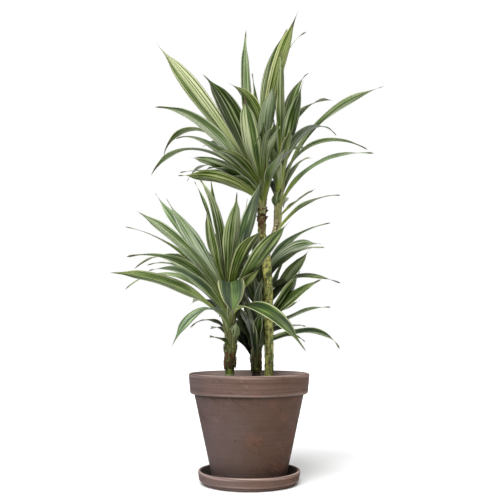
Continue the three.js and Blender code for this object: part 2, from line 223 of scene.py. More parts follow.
# foot: where the cane ends and the crown begins
# bundle: radius of the bundle of leaf bases
# glow: how yellow-green the leaves are near their roots
# hidden, the leaves behind those that show: how many, lowest and highest root, first and last heading
# husks and sprouts, the dry and the small leaves: lowest and highest root, how many, length, lift, width
# pale: how pale each leaf is, from 0 for the darkest to 9
# cast: b for a bluish painted sheen, s for greyish and plain, p for plain green, g for green, o for olive, -
# for by chance
CROWNS = {
    "left": {
        "line": LEFT_LINE, "leaves": LEFT_LEAVES, "seed": 1,
        "foot": 262, "bundle": 13, "glow": 0.4,
        "hidden": (6, 310, 420, 100, 130),
        "husks": (264, 290, 22, 20, 84, 24),
        "sprouts": (290, 352, 16, 48, 80, 17),
        "pale": "6695163425334332415873421233366",
        "cast": "-bb--------b---p-o-g---b-s-o",
    },
    "middle": {
        "line": MIDDLE_LINE, "leaves": MIDDLE_LEAVES, "seed": 2,
        "foot": 240, "bundle": 12, "glow": 0.0,
        "hidden": (8, 290, 425, 72, 135),
        "husks": (250, 290, 20, 22, 82, 22),
        "sprouts": (265, 335, 18, 62, 79, 20),
        "pale": "534532423798212242311010331140",
        "cast": "---------bb",
    },
    "right_low": {
        "line": RIGHT_LOW_LINE, "leaves": RIGHT_LOW_LEAVES, "seed": 3,
        "foot": 600, "bundle": 8.5, "glow": 0.5,
        "hidden": (6, 640, 710, 92, 135),
        "husks": (572, 606, 14, 15, 70, 24),
        "sprouts": (606, 640, 8, 70, 82, 20),
        "pale": "818655535435282665206274543",
        "cast": "-g------o---gogboggg-g--o",
    },
    "right_high": {
        "line": RIGHT_HIGH_LINE, "leaves": RIGHT_HIGH_LEAVES, "seed": 4,
        "foot": 545, "bundle": 8.5, "glow": 0.9,
        "hidden": (6, 600, 690, 86, 98),
        "husks": (560, 575, 3, 22, 82, 22),
        "sprouts": (600, 650, 8, 80, 80, 18),
        "pale": "25757241342566342",
        "cast": "---bg----b----o",
    },
}
# how much painted bluish sheen, how warm and how plain each cast makes a leaf
CASTS = {"b": (0.8, 0, 0), "s": (0.4, 0.9, 0.7), "p": (0.2, 0.7, 0.5), "g": (0, 0.25, 0), "o": (0, 0.9, 0)}

HIDDEN_LEAF = {
    "length": 265, "width": 38, "low_lift": 28, "high_lift": 66, "droop": 50, "turn": 40, "stray": 6,
}
GOLDEN_SHARE = 0.618

# ---- small helpers ----

DRAW_FACTOR, DRAW_SHIFT, DRAW_RANGE = 1664525, 1013904223, 2**32


def seeded(seed):
    """A repeatable stream of numbers from 0 to 1."""
    state = seed
    while True:
        state = (state * DRAW_FACTOR + DRAW_SHIFT) % DRAW_RANGE
        yield state / DRAW_RANGE


def lerp(a, b, share):
    return a + (b - a) * share


def smoothstep(x, low, high):
    x = np.clip((np.asarray(x, float) - low) / (high - low), 0, 1)
    return x * x * (3 - 2 * x)


def hump(away, width):
    """1 at no distance, falling smoothly to nothing a few widths away."""
    return math.exp(-((away / width) ** 2))


def point_at(line, height):
    """The point of a line at a height."""
    for low, high in zip(line, line[1:]):
        if height <= high[2]:
            break
    share = (height - low[2]) / (high[2] - low[2])
    return np.array([lerp(low[0], high[0], share), lerp(low[1], high[1], share), height])


def new_piece(name, points, faces, material, slot, nodes=(), attributes=None, smooth=True):
    """A mesh piece from points in millimetres, riding on the root body, with attributes at its points."""
    mesh = bpy.data.meshes.new(name)
    mesh.from_pydata([tuple(p) for p in np.asarray(points) * MM], [], [tuple(f) for f in faces])
    mesh.polygons.foreach_set("use_smooth", [smooth] * len(mesh.polygons))
    for key, values in (attributes or {}).items():
        values = np.asarray(values, np.float32)
        kind, field = ("FLOAT_VECTOR", "vector") if values.ndim == 2 else ("FLOAT", "value")
        mesh.attributes.new(key, kind, "POINT").data.foreach_set(field, values.ravel())
    mesh.update()
    piece = bpy.data.objects.new(name, mesh)
    bpy.context.scene.collection.objects.link(piece)
    mesh.materials.append(material)
    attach(piece, "root")
    if nodes:
        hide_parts(*nodes)
    return piece


class Material:
    """A node material, whose methods add nodes and return the outputs that the next ones take."""

    def __init__(self, name, **sockets):
        self.data = bpy.data.materials.new(name)
        self.data.use_nodes = True
        self.tree = self.data.node_tree
        self.surface = self.tree.nodes["Principled BSDF"]
        self.set(self.surface, sockets)

    def set(self, node, values):
        for key, value in values.items():
            socket = node.inputs[key.replace("_", " ") if isinstance(key, str) else key]
            if isinstance(value, bpy.types.NodeSocket):
                self.tree.links.new(value, socket)
            else:
                socket.default_value = value

    def node(self, kind, values=None, out=0, **settings):
        node = self.tree.nodes.new("ShaderNode" + kind)
        for key, value in settings.items():
            setattr(node, key, value)
        self.set(node, values or {})
        return node.outputs[out]

    def attribute(self, name, out="Fac"):
        return self.node("Attribute", out=out, attribute_name=name)

    def place(self):
        return self.node("TexCoord", out="Object")

    def parts(self, vector):
        node = self.tree.nodes.new("ShaderNodeSeparateXYZ")
        self.tree.links.new(vector, node.inputs[0])
        return node.outputs

    def vector(self, x, y, z):
        return self.node("CombineXYZ", {"X": x, "Y": y, "Z": z})

    def stretch(self, vector, scale):
        return self.node("VectorMath", {0: vector, 1: scale}, operation="MULTIPLY")

    def noise(self, vector, scale, detail=2.0, roughness=0.5):
        values = {"Vector": vector, "Scale": scale, "Detail": detail, "Roughness": roughness}
        return self.node("TexNoise", values)

    def math(self, operation, a, b=0.0):
        return self.node("Math", {0: a, 1: b}, operation=operation)

    def plus(self, first, *others):
        for other in others:
            first = self.math("ADD", first, other)
        return first

    def times(self, a, b):
        return self.math("MULTIPLY", a, b)

    def about(self, value, amount):
        """A value from 0 to 1 turned into one from minus to plus half the amount."""
        return self.times(self.math("SUBTRACT", value, 0.5), amount)

    def span(self, value, low, high, start=0.0, end=1.0):
        """From start to end as the value goes from low to high."""
        values = {"Value": value, "From Min": low, "From Max": high, "To Min": start, "To Max": end}
        return self.node("MapRange", values, interpolation_type="SMOOTHSTEP")

    def mix(self, share, a, b, blend="MIX"):
        a, b = ((*colour, 1) if isinstance(colour, tuple) else colour for colour in (a, b))
        return self.node("Mix", {0: share, 6: a, 7: b}, out=2, data_type="RGBA", blend_type=blend)

    def ramp(self, value, *stops):
        node = self.tree.nodes.new("ShaderNodeValToRGB")
        self.tree.links.new(value, node.inputs[0])
        points = node.color_ramp.elements
        while len(points) < len(stops):
            points.new(0.5)
        for point, (position, colour) in zip(points, stops):
            point.position = position
            point.color = (*colour, 1)
        return node.outputs[0]

    def bump(self, height, distance, strength):
        normal = self.node("Bump", {"Height": height, "Distance": distance, "Strength": strength})
        self.set(self.surface, {"Normal": normal})


# ---- materials ----

CLAY_BODY = (0.0, (0.076, 0.048, 0.046)), (0.5, (0.068, 0.039, 0.028)), (1.0, (0.070, 0.033, 0.018))
CLAY_COLOURS = {
    "blotch": (0.135, 0.048, 0.028),
    "turning": (0.200, 0.130, 0.110),
    "groove": (0.045, 0.022, 0.016),
    "scuff": (0.205, 0.150, 0.130),
    "scrape": (0.040, 0.022, 0.016),
    "pit": (0.022, 0.016, 0.013),
    "wear_and_highlight": (0.400, 0.300, 0.265),
    "painted_shade": (0.012, 0.011, 0.008),
    "inside": (0.480, 0.360, 0.330),
    "painted_left_shade": (0.74, 0.74, 0.76),
}


def clay_material():
    """Brown earthenware: greyer and lighter towards the left and browner towards the right, red blotches,
    scuffs, pits and fine turning lines.
    """
    m = Material("clay", Specular_IOR_Level=0.3)
    tint = CLAY_COLOURS
    place = m.place()
    x, y, z = m.parts(place)
    cloud = m.noise(place, 9.0, 4.0, 0.6)
    body = m.ramp(m.plus(m.span(x, -0.11, 0.09), m.about(cloud, 1.3)), *CLAY_BODY)
    blotch = m.span(m.noise(m.stretch(place, (1, 1, 0.8)), 19.0, 3.0, 0.6), 0.53, 0.7)
    body = m.mix(m.times(blotch, m.span(x, -0.08, 0.09, 0.15, 0.65)), body, tint["blotch"])

    # turning lines, strongest on the pot's band and on the saucer
    band = m.span(z, (BAND_BOTTOM - 3) * MM, (BAND_BOTTOM + 2) * MM)
    saucer = m.span(z, (SAUCER["height"] + 1) * MM, (SAUCER["height"] + 5) * MM, 1.0, 0.0)
    pale = m.span(m.math("MAXIMUM", band, saucer), 0.0, 1.0, 0.08, 0.34)
    lines = m.noise(m.stretch(place, (5, 5, 330)), 1.0, 3.0, 0.7)
    body = m.mix(m.times(m.span(lines, 0.36, 0.62, 0.3, 1.0), pale), body, tint["turning"])
    groove = m.span(m.noise(m.stretch(place, (9, 9, 260)), 1.0, 2.0, 0.6), 0.6, 0.68, 0.0, 0.5)
    body = m.mix(m.times(groove, band), body, tint["groove"])

    # pale scuffs along wavy lines, dark scrapes along slanting ones, and pits
    waves = m.plus(z, m.times(m.noise(place, 14.0, 2.0), 0.22))
    scuff = m.noise(m.vector(m.times(x, 38.0), 0.0, m.times(waves, 120.0)), 1.0, 3.0, 0.7)
    scuff = m.times(m.span(scuff, 0.58, 0.67), m.span(cloud, 0.42, 0.58))
    body = m.mix(m.times(scuff, 0.3), body, tint["scuff"])
    slant = m.plus(z, m.times(x, 0.7))
    scrape = m.noise(m.vector(m.times(x, 34.0), 0.0, m.times(slant, 190.0)), 1.0, 2.0, 0.6)
    scrape = m.times(m.span(scrape, 0.56, 0.64), m.span(cloud, 0.44, 0.56))
    body = m.mix(m.times(scrape, m.span(band, 0.0, 1.0, 0.5, 0.15)), body, tint["scrape"])
    pits = m.span(m.noise(place, 160.0, 1.0), 0.7, 0.76)
    body = m.mix(m.times(pits, 0.7), body, tint["pit"])

    # worn edges with a painted highlight on the lips, painted shade in the recesses, painted light on the
    # inside above the soil, and painted shade on the left side
    # the worn edges are paler, with a painted highlight on the lips of the pot and the saucer
    body = m.mix(m.times(m.attribute("wear_and_highlight"), 0.9), body, tint["wear_and_highlight"])
    # painted shade, darkest under the band, round the pot's foot and inside the saucer
    body = m.mix(m.attribute("painted_shade"), body, tint["painted_shade"])
    # painted light on the inside wall of the pot above the soil
    reach = m.math("SQRT", m.plus(m.math("POWER", x, 2.0), m.math("POWER", y, 2.0)))
    inside = m.span(reach, (INNER_TOP + 0.2) * MM, (INNER_TOP + 2.5) * MM, 1.0, 0.0)
    inside = m.times(inside, m.span(z, (SOIL_TOP - 15) * MM, (SOIL_TOP - 5) * MM))
    body = m.mix(inside, body, tint["inside"])
    # painted shade: the left side of the clay multiplied darker
    body = m.mix(m.span(x, -0.13, -0.07, 1.0, 0.0), body, tint["painted_left_shade"], "MULTIPLY")

    m.set(m.surface, {"Base Color": body, "Roughness": m.span(cloud, 0.3, 0.7, 0.75, 0.95)})
    relief = m.plus(m.times(lines, 0.5), m.times(pits, -1.0), m.times(m.noise(place, 420.0, 2.0), 0.35))
    m.bump(relief, 0.0006, 0.6)
    return m.data


SOIL_COLOURS = (0.3, (0.012, 0.009, 0.007)), (0.62, (0.055, 0.036, 0.024)), (0.8, (0.16, 0.11, 0.07))


def soil_material():
    """Dark crumbly potting soil with paler grains."""
    m = Material("soil", Roughness=0.95)
    place = m.place()
    m.set(m.surface, {"Base Color": m.ramp(m.noise(place, 130.0, 4.0, 0.7), *SOIL_COLOURS)})
    m.bump(m.noise(place, 300.0, 3.0, 0.6), 0.002, 0.8)
    return m.data


# the low, the high and the ring colour of each kind of bark
BARK_COLOURS = {
    "cane_fresh": ((0.030, 0.060, 0.008), (0.230, 0.290, 0.055), (0.040, 0.026, 0.010)),
    "cane_green": ((0.035, 0.068, 0.012), (0.410, 0.405, 0.115), (0.058, 0.030, 0.010)),
    "cane_brown": ((0.018, 0.012, 0.008), (0.110, 0.070, 0.038), (0.010, 0.007, 0.005)),
    "shoot": ((0.020, 0.036, 0.005), (0.280, 0.340, 0.070), (0.045, 0.022, 0.008)),
    "shoot_straw": ((0.170, 0.140, 0.050), (0.560, 0.500, 0.290), (0.075, 0.040, 0.022)),
}
BARE_RING = (0.5, 0.5, 0.3)


def cane_material(name, low, high, ring_colour):
    """Mottled bark from a low to a high colour, with broken leaf-scar rings and dark specks."""
    m = Material(name, Roughness=0.5, Specular_IOR_Level=0.3)
    place = m.place()
    long_place = m.stretch(place, (1, 1, 0.6))
    streak = m.noise(m.stretch(place, (1, 1, 0.2)), 190.0, 2.0, 0.6)
    patch = m.noise(long_place, 75.0, 2.0, 0.6)
    middle = tuple(lerp(a, b, 0.45) for a, b in zip(low, high))
    blend = m.plus(m.times(streak, 0.45), m.times(patch, 0.65))
    colour = m.ramp(blend, (0.44, low), (0.53, middle), (0.64, high))
    speck = m.span(m.noise(long_place, 110.0, 3.0), 0.52, 0.58)
    colour = m.mix(m.times(speck, 0.8), colour, ring_colour)
    colour = m.mix(m.times(m.attribute("pale"), 0.7), colour, BARE_RING)
    colour = m.mix(m.times(m.attribute("ring"), m.span(patch, 0.4, 0.56, 0.05, 0.85)), colour, ring_colour)
    m.set(m.surface, {"Base Color": colour})
    m.bump(m.plus(streak, m.times(patch, 0.7)), 0.0016, 0.6)
    return m.data


LEAF_GREENS = (
    (0.0, (0.006, 0.013, 0.001)),
    (0.23, (0.022, 0.050, 0.004)),
    (0.43, (0.078, 0.145, 0.017)),
    (0.61, (0.200, 0.295, 0.085)),
    (0.79, (0.400, 0.490, 0.260)),
    (0.95, (0.580, 0.650, 0.450)),
)
LEAF_COLOURS = {
    "dark_stripe": (0.010, 0.024, 0.004),
    "cream": (0.620, 0.670, 0.470),
    "warming": (1.12, 1.0, 0.55),
    "painted_sheen_colour": (0.10, 0.13, 0.13),
    "underside": (0.018, 0.030, 0.009),
    "deep_shade": (0.005, 0.009, 0.002),
    "fresh": (0.340, 0.430, 0.060),
}
DULL_ROOT = (0.38, (0.018, 0.015, 0.006)), (0.5, (0.058, 0.060, 0.018)), (0.62, (0.165, 0.185, 0.060))
BRIGHT_ROOT = (0.35, (0.190, 0.195, 0.065)), (0.5, (0.410, 0.400, 0.170)), (0.65, (0.640, 0.590, 0.390))
DRY_TIP = (0.35, (0.040, 0.034, 0.022)), (0.65, (0.160, 0.135, 0.085))
LEAF_GLOSS = (0.95, 1.0, 0.5, 1.0)


def leaf_material():
    """Green blade with lengthwise stripes, cream lines along the margins, a pale root and a dry tip.

    The points of a leaf say where they lie on it (blade), how it looks (tint, cast, plain) and how deep in
    its crown's shade they are (deep).
    """
    m = Material("leaf", Specular_IOR_Level=0.18, Specular_Tint=LEAF_GLOSS)
    tints = LEAF_COLOURS
    across, along, seed = m.parts(m.attribute("blade", "Vector"))
    tone, dry, under = m.parts(m.attribute("tint", "Vector"))
    painted_sheen, warm, glow = m.parts(m.attribute("cast", "Vector"))
    deep = m.attribute("deep")
    vivid = m.math("SUBTRACT", 1.0, m.attribute("plain"))

    def on_leaf(count, stretch, shift=0.0):
        """A place on this leaf, for so many stripes across it and changes along it."""
        return m.vector(m.times(across, count), m.times(along, stretch), m.plus(m.times(seed, 37.0), shift))

    def stripes(count, stretch, shift=0.0):
        return m.noise(on_leaf(count, stretch, shift), 1.0, 1.0, 0.6)

    # how pale each spot is: the leaf's own tone, its broad zones, painted light on one half of its fold and
    # painted shade on the other, and its stripes
    broad, bands, lines = stripes(1.3, 0.8), stripes(4.2, 0.7, 3.0), stripes(13.0, 1.0, 7.0)
    hair, patches = stripes(26.0, 2.2, 11.0), stripes(0.6, 3.5, 17.0)
    # painted light on one half of the fold and painted shade on the other; which half, by chance
    painted_fold_light = m.times(m.span(across, -0.06, 0.06, -0.12, 0.12), m.math("SINE", m.times(seed, 61.0)))
    stripe = m.plus(m.span(bands, 0.42, 0.58, -0.16, 0.16), m.span(lines, 0.4, 0.6, -0.14, 0.14))
    pale = m.plus(m.times(tone, 0.98), -0.03, m.about(broad, 1.1), m.about(patches, 1.1), painted_fold_light)
    colour = m.ramp(m.plus(pale, m.times(stripe, vivid), m.about(hair, 0.85)), *LEAF_GREENS)

    # dark stripes, and cream along the rib, the margins and a few threads between
    distance = m.math("ABSOLUTE", across)
    rib = m.times(m.span(distance, 0.03, 0.08, 0.5, 0.0), m.span(broad, 0.4, 0.6))
    edge = m.plus(distance, m.about(bands, 0.1))
    margin = m.times(m.span(edge, 0.85, 0.91), m.span(hair, 0.34, 0.54, 0.35, 1.0))
    broken = m.span(m.noise(on_leaf(1.6, 2.5, 29.0), 1.0), 0.42, 0.6)
    thread = m.times(m.span(lines, 0.57, 0.62, 0.0, 0.55), broken)
    cream = m.math("MAXIMUM", margin, m.times(m.math("MAXIMUM", rib, thread), vivid))
    dark = m.times(m.span(lines, 0.39, 0.45, 0.85, 0.0), vivid)
    colour = m.mix(dark, colour, tints["dark_stripe"])
    colour = m.mix(cream, colour, tints["cream"])

    # the leaf's cast and its painted sheen, painted shade on its underside, and the shade of its crown
    colour = m.mix(m.times(warm, 0.7), colour, tints["warming"], "MULTIPLY")
    # a painted bluish sheen added to some leaves
    colour = m.mix(m.times(painted_sheen, 0.45), colour, m.mix(1.0, colour, tints["painted_sheen_colour"], "ADD"))
    # painted shade darkening the underside
    colour = m.mix(m.times(under, 0.25), colour, tints["underside"])
    colour = m.mix(m.times(deep, m.span(glow, 0.0, 1.0, 0.97, 0.75)), colour, tints["deep_shade"])

    # yellow-green towards the root, a dull or bright root, and a dry tip
    fresh = m.times(m.span(along, 0.04, 0.45, 1.0, 0.0), m.span(lines, 0.35, 0.6, 0.45, 1.0))
    fresh = m.times(fresh, m.span(deep, 0.1, 0.7, 1.0, 0.15))
    colour = m.mix(m.times(fresh, glow), colour, tints["fresh"])
    root = m.span(along, -0.03, m.span(glow, 0.5, 0.9, 0.1, 0.16), 0.92, 0.0)
    root_colour = m.mix(m.span(glow, 0.2, 0.8), m.ramp(bands, *DULL_ROOT), m.ramp(bands, *BRIGHT_ROOT))
    colour = m.mix(root, colour, root_colour)
    tip = m.span(m.plus(along, m.plus(m.about(hair, 0.08), dry)), 0.97, 1.01)
    colour = m.mix(tip, colour, m.ramp(hair, *DRY_TIP))

    m.set(m.surface, {"Base Color": colour, "Roughness": m.span(patches, 0.3, 0.7, 0.34, 0.5)})
    veins = m.times(m.math("SINE", m.times(across, 42.0)), 0.2)
    m.bump(m.plus(veins, lines, m.times(patches, 5.0)), 0.0008, 0.6)
    return m.data


HUSK_COLOURS = (0.35, (0.014, 0.008, 0.005)), (0.5, (0.080, 0.035, 0.018)), (0.68, (0.340, 0.230, 0.120))


def husk_material():
    """Dry papery leaf bases, red-brown to straw."""
    m = Material("husk", Roughness=0.8, Specular_IOR_Level=0.1)
    across, along, seed = m.parts(m.attribute("blade", "Vector"))
    place = m.vector(m.times(across, 9.0), m.times(along, 2.0), m.times(seed, 23.0))
    streak = m.noise(place, 1.0, 3.0, 0.6)
    m.set(m.surface, {"Base Color": m.ramp(streak, *HUSK_COLOURS)})
    m.bump(streak, 0.001, 0.6)
    return m.data


CLAY = clay_material()
SOIL = soil_material()
LEAF = leaf_material()
HUSK = husk_material()
BARK = {name: cane_material(name, *colours) for name, colours in BARK_COLOURS.items()}

# ---- clay pot and saucer ----

CLAY_SIDES = 144
CORNER_RADIUS, CORNER_STEPS = 1.6, 3
LONGEST_STRETCH = 4.0
WEAR_REACH = 2.5  # how far the wear of a corner reaches
TRUE_RADIUS = 30  # the clay is truly round up to this radius


def rounded(profile):
    """A closed profile with each corner turned into a short arc: (radius, height, wear with painted
    highlight, painted shade).
    """
    result = []
    for i, (r, z, wear_and_highlight, painted_shade) in enumerate(profile):
        here = np.array([r, z], float)
        if r == 0:
            result.append((r, z, wear_and_highlight, painted_shade))
            continue
        before = np.array(profile[i - 1][:2], float) - here
        after = np.array(profile[(i + 1) % len(profile)][:2], float) - here
        cut = min(CORNER_RADIUS, np.linalg.norm(before) * 0.45, np.linalg.norm(after) * 0.45)
        start = here + before / np.linalg.norm(before) * cut
        end = here + after / np.linalg.norm(after) * cut
        for k in range(CORNER_STEPS + 1):
            t = k / CORNER_STEPS
            p = start * (1 - t) ** 2 + here * 2 * t * (1 - t) + end * t**2
            result.append((p[0], p[1], wear_and_highlight, painted_shade))
    return result


def refined(profile):
    """The closed profile with its long stretches divided, wear and painted highlight kept to the corners."""
    result = []
    for a, b in zip(profile, profile[1:] + profile[:1]):
        if a[0] == 0 and b[0] == 0:
            result.append(a)
            continue
        length = math.dist(a[:2], b[:2])
        count = max(1, math.ceil(length / LONGEST_STRETCH))
        for k in range(count):
            t = k / count
            near = min(t, 1 - t) * length
            wear_and_highlight = lerp(a[2], b[2], t) * max(0.0, 1 - near / WEAR_REACH)
            result.append((lerp(a[0], b[0], t), lerp(a[1], b[1], t), wear_and_highlight, lerp(a[3], b[3], t)))
    return result


def out_of_round(angle, r, z, sway):
    """How far thrown clay strays from a true circle: a slow sway round it and fine turning ridges."""
    if z <= 0 or r <= TRUE_RADIUS:
        return 0
    wobble = math.sin(2 * angle + z * 0.01) + 0.5 * math.sin(3 * angle + 1 + z * 0.02)
    ridges = 0.12 * math.sin(z * 0.9) + 0.1 * math.sin(z * 0.37 + 2)
    return sway * wobble * min(1, r / 60) + ridges


def turned(name, profile, node, sway):
    """A lathe piece, very slightly out of round as thrown clay is."""
    profile = refined(rounded(profile))
    count = len(profile)
    points, wear_and_highlight, painted_shade = [], [], []
    for side in range(CLAY_SIDES):
        angle = 2 * math.pi * side / CLAY_SIDES
        for r, z, w, s in profile:
            reach = r + out_of_round(angle, r, z, sway)
            points.append((reach * math.cos(angle), reach * math.sin(angle), z))
            # the wear carries a painted highlight on the lips, the stain carries painted shade
            wear_and_highlight.append(w * (0.6 + 0.4 * math.sin(angle * 5 + z)))
            painted_shade.append(s)
    faces = []
    for side in range(CLAY_SIDES):
        a, b = side * count, (side + 1) % CLAY_SIDES * count
        for i in range(count):
            j = (i + 1) % count
            if profile[i][0] == 0 and profile[j][0] == 0:
                continue
            faces.append((a + i, b + i, b + j, a + j))
    clean(new_piece(name, points, faces, CLAY, "clay", [node], {"wear_and_highlight": wear_and_highlight, "painted_shade": painted_shade}))


def clean(piece):
    """Merges the points that fall together and turns all the faces outwards."""
    work = bmesh.new()
    work.from_mesh(piece.data)
    bmesh.ops.remove_doubles(work, verts=work.verts, dist=1e-6)
    bmesh.ops.dissolve_degenerate(work, edges=work.edges, dist=1e-7)
    bmesh.ops.recalc_face_normals(work, faces=work.faces)
    work.to_mesh(piece.data)
    work.free()


def pot_inner(height):
    """The radius of the pot's inside at a height."""
    return lerp(INNER_BOTTOM, INNER_TOP, (height - POT_FLOOR) / (POT["height"] - POT["lip"] - POT_FLOOR))


def make_saucer():
    s = SAUCER
    # profile points: radius, height, wear with painted highlight, painted shade
    turned("saucer_clay", [
        (0, 0, 0, 0),
        (s["foot"], 0, 0, 0),
        (lerp(s["foot"], s["bulge"], 0.35), 4, 0.2, 0),
        (lerp(s["foot"], s["bulge"], 0.45), 6, 0, 0.5),
        (s["bulge"] - 0.5, 9, 0.3, 0),
        (s["bulge"], s["bulge_height"], 0, 0),
        (s["rim"], s["height"] - s["lip"], 0.5, 0),
        (s["rim"] - s["lip"] / 2, s["height"], 1, 0),
        (s["rim"] - s["wall"] + s["lip"] / 2, s["height"], 0.6, 0.1),
        (s["rim"] - s["wall"], s["height"] - s["lip"], 0, 0.85),
        (s["foot"] - s["wall"], s["floor"] + 2, 0, 0.95),
        (s["foot"] - s["wall"] - 3, s["floor"], 0, 0.95),
        (0, s["floor"], 0, 0.9),
    ], "saucer", 0.25)


def make_pot():
    p = POT
    # profile points: radius, height, wear with painted highlight, painted shade
    turned("pot_clay", [
        (p["drain"], POT_FOOT, 0, 0),
        (p["bottom"] - 2, POT_FOOT, 0, 0.4),
        (p["bottom"], POT_FOOT + 2, 0.2, 0.2),
        (lerp(p["bottom"], WALL_TOP, 0.97), lerp(POT_FOOT, BAND_BOTTOM, 0.97), 0, 0),
        (WALL_TOP, BAND_BOTTOM + 2, 0, 0.95),
        (BAND_FOOT - p["lip"], BAND_BOTTOM, 0.1, 0.6),
        (BAND_FOOT, BAND_BOTTOM + p["lip"], 0.3, 0),
        (p["rim"], p["height"] - p["lip"], 0.4, 0),
        (p["rim"] - p["lip"], p["height"], 1, 0),
        (INNER_TOP + p["lip"], p["height"], 0.9, 0),
        (INNER_TOP, p["height"] - p["lip"], 0.2, 0),
        (INNER_BOTTOM, POT_FLOOR, 0, 0.3),
        (p["drain"], POT_FLOOR, 0, 0.3),
    ], "pot", 0.4)


# ---- soil ----

SOIL_SIDES, SOIL_RINGS = 96, 40
# for the soil's lumps and grains: height, waves a millimetre, and which slice of the noise
SOIL_WAVES = (2.2, 0.035, 3.0), (1.3, 0.12, 8.0), (0.8, 0.45, 5.0)
CRUMBS, CRUMB_SEED, CRUMB_MARGIN = 300, 31, 8


def soil_height(x, y):
    """The height of the soil's surface: a low mound with lumps and grains."""
    share = min(1.0, math.hypot(x, y) / pot_inner(SOIL_TOP))
    height = SOIL_TOP + float(SOIL_MOUND * (1 - smoothstep(share, 0.2, 1.0)))
    for rise, waves, at in SOIL_WAVES:
        height += rise * noise.noise(Vector((x * waves, y * waves, at)))
    return height


def make_soil():
    bottom = POT_FLOOR + GAP
    edge, low = pot_inner(SOIL_TOP) - 2 * GAP, pot_inner(bottom) - 1
    circle = [2 * math.pi * side / SOIL_SIDES for side in range(SOIL_SIDES)]
    points, faces = [(0, 0, soil_height(0, 0))], []
    for ring in range(1, SOIL_RINGS + 1):
        r = edge * ring / SOIL_RINGS
        for angle in circle:
            x, y = r * math.cos(angle), r * math.sin(angle)
            points.append((x, y, soil_height(x, y)))
    points += [(low * math.cos(angle), low * math.sin(angle), bottom) for angle in circle]
    points.append((0, 0, bottom))
    for side in range(SOIL_SIDES):
        after = (side + 1) % SOIL_SIDES
        faces.append((0, 1 + side, 1 + after))
        for ring in range(SOIL_RINGS):
            a = 1 + ring * SOIL_SIDES
            faces.append((a + side, a + SOIL_SIDES + side, a + SOIL_SIDES + after, a + after))
        a = 1 + SOIL_RINGS * SOIL_SIDES
        faces.append((a + side, len(points) - 1, a + after))
    clean(new_piece("soil_bed", points, faces, SOIL, "soil", ["soil"]))


def make_crumbs():
    """Loose clods and bark crumbs on the soil."""
    draw = seeded(CRUMB_SEED)
    ball = bmesh.new()
    bmesh.ops.create_icosphere(ball, subdivisions=1, radius=1)
    form = np.array([v.co[:] for v in ball.verts])
    sides = [[v.index for v in f.verts] for f in ball.faces]
    ball.free()
    points, faces = [], []
    for _ in range(CRUMBS):
        r = (pot_inner(SOIL_TOP) - CRUMB_MARGIN) * math.sqrt(next(draw))
        angle = 2 * math.pi * next(draw)
        x, y = r * math.cos(angle), r * math.sin(angle)
        size = 1.2 + 3.2 * next(draw) ** 2
        rough = np.array([0.75 + 0.5 * next(draw) for _ in range(len(form))])[:, None]
        squash = np.array([1, 0.6 + 0.5 * next(draw), 0.5 + 0.3 * next(draw)])
        turn = 2 * math.pi * next(draw)
        c, s = math.cos(turn), math.sin(turn)
        lump = form * rough * squash * size @ np.array([[c, s, 0], [-s, c, 0], [0, 0, 1]])
        faces += [[len(points) + i for i in f] for f in sides]
        points += list(lump + np.array([x, y, soil_height(x, y) + size * 0.25]))
    new_piece("soil_crumbs", points, faces, SOIL, "soil", smooth=False)


# ---- canes and shoots ----

CANE_SIDES, CANE_STEP = 32, 1.6
DARK_WIDTH, PALE_WIDTH, BARK_RELIEF = 1.7, 2.2, 0.5
# a leaf scar is a groove with a swelling below it: height, width and distance from the scar
SWELLING, GROOVE = (0.9, 3.0, 2.5), (-0.7, 1.2, 0)


def tube(line, low, high, radius_at, rings, seed):
    """A cane along its line: points, faces, and how dark its leaf scars make each point."""
    count = math.ceil((high - low) / CANE_STEP)
    draw = seeded(seed)
    lean = [(next(draw) * 2 * math.pi, 0.5 + next(draw)) for _ in rings]
    points, ring_values = [], []
    for i in range(count + 1):
        height = lerp(low, high, i / count)
        middle = point_at(line, height)
        for side in range(CANE_SIDES):
            angle = 2 * math.pi * side / CANE_SIDES
            dark, swell = 0.0, 0.0
            for at, (phase, tilt) in zip(rings, lean):
                away = height - at - tilt * math.sin(angle + phase)
                dark = max(dark, hump(away, DARK_WIDTH))
                swell += sum(rise * hump(away + below, width) for rise, width, below in (SWELLING, GROOVE))
            x, y = math.cos(angle), math.sin(angle)
            bark = BARK_RELIEF * noise.noise(Vector((1.6 * x, 1.6 * y, height * 0.05 + seed)))
            points.append(middle + np.array([x, y, 0]) * (radius_at(height) + bark + swell))
            ring_values.append(dark)
    faces = []
    for i in range(count):
        for side in range(CANE_SIDES):
            a, b = i * CANE_SIDES + side, i * CANE_SIDES + (side + 1) % CANE_SIDES
            faces.append((a, b, b + CANE_SIDES, a + CANE_SIDES))
    faces.append(tuple(reversed(range(CANE_SIDES))))
    faces.append(tuple(range(count * CANE_SIDES, (count + 1) * CANE_SIDES)))
    return points, faces, ring_values


def tubes(name, parts, bark, slot, node, pale_rings=()):
    """One piece of bark made of one or more tubes."""
    points, faces, rings = [], [], []
    for part in parts:
        more, sides, values = tube(*part)
        faces += [tuple(i + len(points) for i in f) for f in sides]
        points += more
        rings += values
    pale = [max([0.0] + [hump(p[2] - at, PALE_WIDTH) for at in pale_rings]) for p in points]
    new_piece(name, points, faces, BARK[bark], slot, [node], {"ring": rings, "pale": pale})


def ring_heights(low, high, pitch, seed):
    """Heights of leaf scars from low to high, about a pitch apart."""
    draw = seeded(seed)
    result, height = [], low + pitch * next(draw)
    while height < high - 2:
        result.append(height)
        height += pitch * (0.6 + 0.8 * next(draw))
    return result


def cane_part(key, line, low, high, rings, seed, flare=0.0):
    """What tube needs for a cane that widens by a flare towards the soil."""

    def radius(height):
        return CANE_RADIUS[key] + flare * float(smoothstep(height, SOIL_TOP + FLARE_HEIGHT, SOIL_TOP))

    return line, low, high, radius, rings, seed


